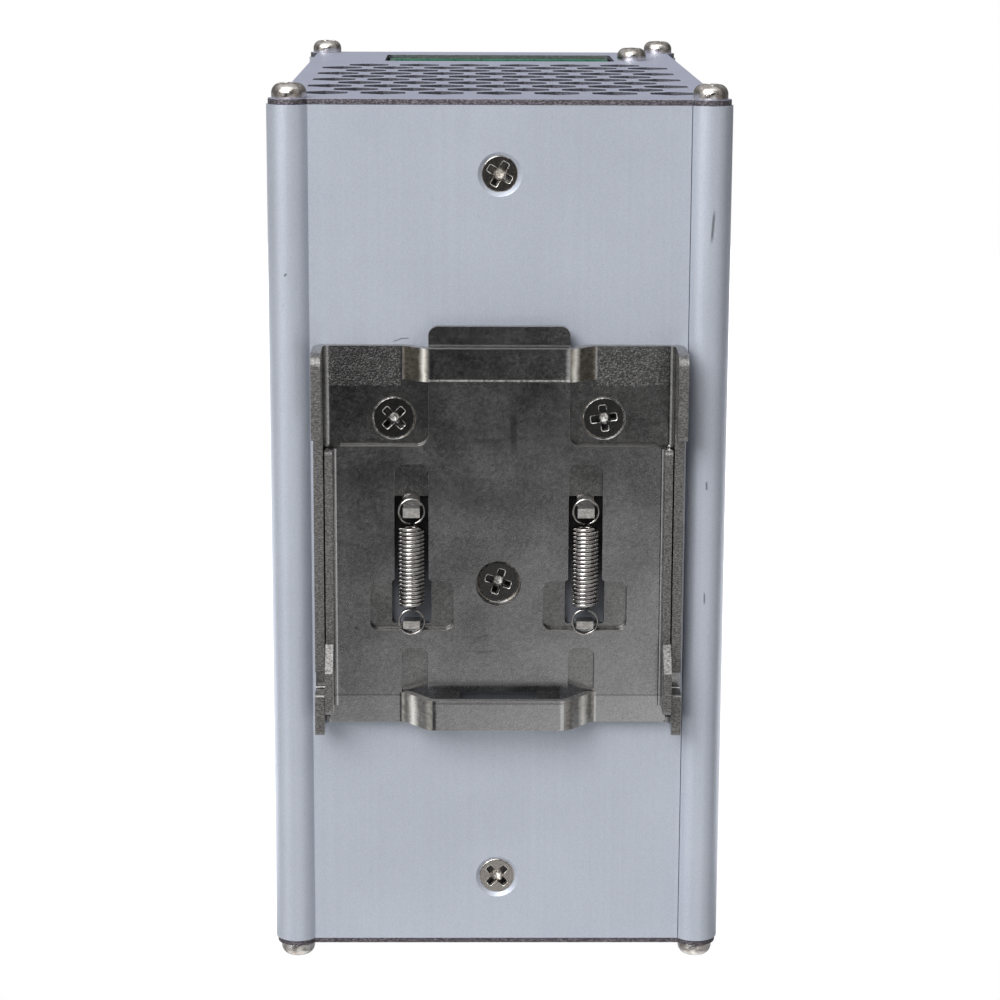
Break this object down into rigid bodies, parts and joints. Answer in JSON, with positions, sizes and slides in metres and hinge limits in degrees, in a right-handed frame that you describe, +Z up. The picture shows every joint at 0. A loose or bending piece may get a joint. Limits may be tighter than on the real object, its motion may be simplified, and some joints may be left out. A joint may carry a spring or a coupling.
{
  "type": "din rail power supply",
  "caption": "Enclosed DIN rail power supply in an extruded aluminium case, with vented covers, plug-in terminals and a sprung rail clip on its back.",
  "frame": {"origin": "bottom centre of the whole part's box, level with the lower screw heads that it stands on", "axes": "+Z up, +Y out of the front panel, -Y towards the rail, X along the rail"},
  "size_m": [0.0714, 0.1391, 0.1406],
  "materials": {
    "case_extrusion": "satin anodised, pale blue-grey",
    "cover_sheet": "satin anodised sheet with sheared edges",
    "screw_nickel": "bright nickel-plated steel",
    "screw_dark": "dull plated steel",
    "clip_steel": "nickel-plated sheet steel, grainy",
    "spring_steel": "bright spring wire",
    "bracket_steel": "zinc-plated sheet steel",
    "spreader_aluminium": "milled aluminium",
    "pad_grey": "soft grey pad",
    "board_green": "glass-epoxy board with green resist",
    "device_black": "moulded epoxy",
    "insulation": "thin translucent film",
    "ferrite": "pressed ferrite",
    "bobbin_plastic": "glass-filled plastic",
    "winding": "enamelled copper wire",
    "winding_tape": "polyester tape over the winding",
    "powder_core": "coated ring core",
    "can_sleeve": "plain dark sleeve, bare metal end",
    "film_case": "moulded case",
    "disc_blue": "dipped coating",
    "fuse_glass": "glass tube with metal caps",
    "clip_brass": "tinned spring brass",
    "relay_case": "moulded case",
    "header_plastic": "moulded plastic, dark green",
    "pin_tin": "tinned copper alloy",
    "led": "tinted epoxy",
    "pipe_clear": "clear moulded rod",
    "trimmer_blue": "moulded plastic",
    "trimmer_white": "moulded plastic"
  },
  "bodies": {
    "case": {"housing_profile_rear": "case_extrusion", "housing_profile_front": "case_extrusion", "top_cover": "cover_sheet", "bottom_cover": "cover_sheet", "top_cover_screws": "screw_nickel", "bottom_cover_screws": "screw_nickel", "terminal_bracket_screws": "screw_nickel", "terminal_brackets": "bracket_steel", "rail_bracket": "clip_steel", "bracket_screws": "screw_dark", "latch_spring_left": "spring_steel", "latch_spring_right": "spring_steel", "heat_spreader": "spreader_aluminium", "spreader_screws": "screw_dark", "thermal_pads": "pad_grey", "power_transistors": "device_black", "bridge_rectifier": "device_black", "device_clamps": "bracket_steel", "clamp_screws": "screw_nickel", "main_board": "board_green", "insulation_sheet": "insulation", "transformer_core": "ferrite", "transformer_bobbin": "bobbin_plastic", "transformer_winding": "winding_tape", "boost_choke_core": "ferrite", "boost_choke_bobbin": "bobbin_plastic", "boost_choke_winding": "winding", "filter_choke_core": "ferrite", "filter_choke_winding": "winding", "output_choke_core": "powder_core", "output_choke_winding": "winding", "bulk_capacitors": "can_sleeve", "output_capacitors": "can_sleeve", "film_capacitors": "film_case", "disc_capacitors": "disc_blue", "varistor": "disc_blue", "input_fuse": "fuse_glass", "fuse_clips": "clip_brass", "inrush_relay": "relay_case", "optocouplers": "device_black", "control_board": "board_green", "control_chips": "device_black", "output_board": "board_green", "output_header": "header_plastic", "output_pins": "pin_tin", "input_board": "board_green", "input_header": "header_plastic", "input_pins": "pin_tin", "front_board": "board_green", "status_led": "led", "light_pipe": "pipe_clear", "trimmer_body": "trimmer_blue"},
    "latch": {"rail_latch": "clip_steel"},
    "trimmer": {"trimmer_rotor": "trimmer_white"}
  },
  "joints": [
    {"name": "latch_slide", "type": "slide", "parent": "case", "child": "latch", "axis": [0, 0, -1], "range_m": [0, 0.006], "stiffness_N_per_m": 1400, "springref_m": -0.004, "deforming": ["latch_spring_left", "latch_spring_right"]},
    {"name": "trimmer_turn", "type": "hinge", "parent": "case", "child": "trimmer", "pos_m": [0.018, 0.06505, 0.1073], "axis": [0, 1, 0], "range_deg": [-135, 135]}
  ]
}
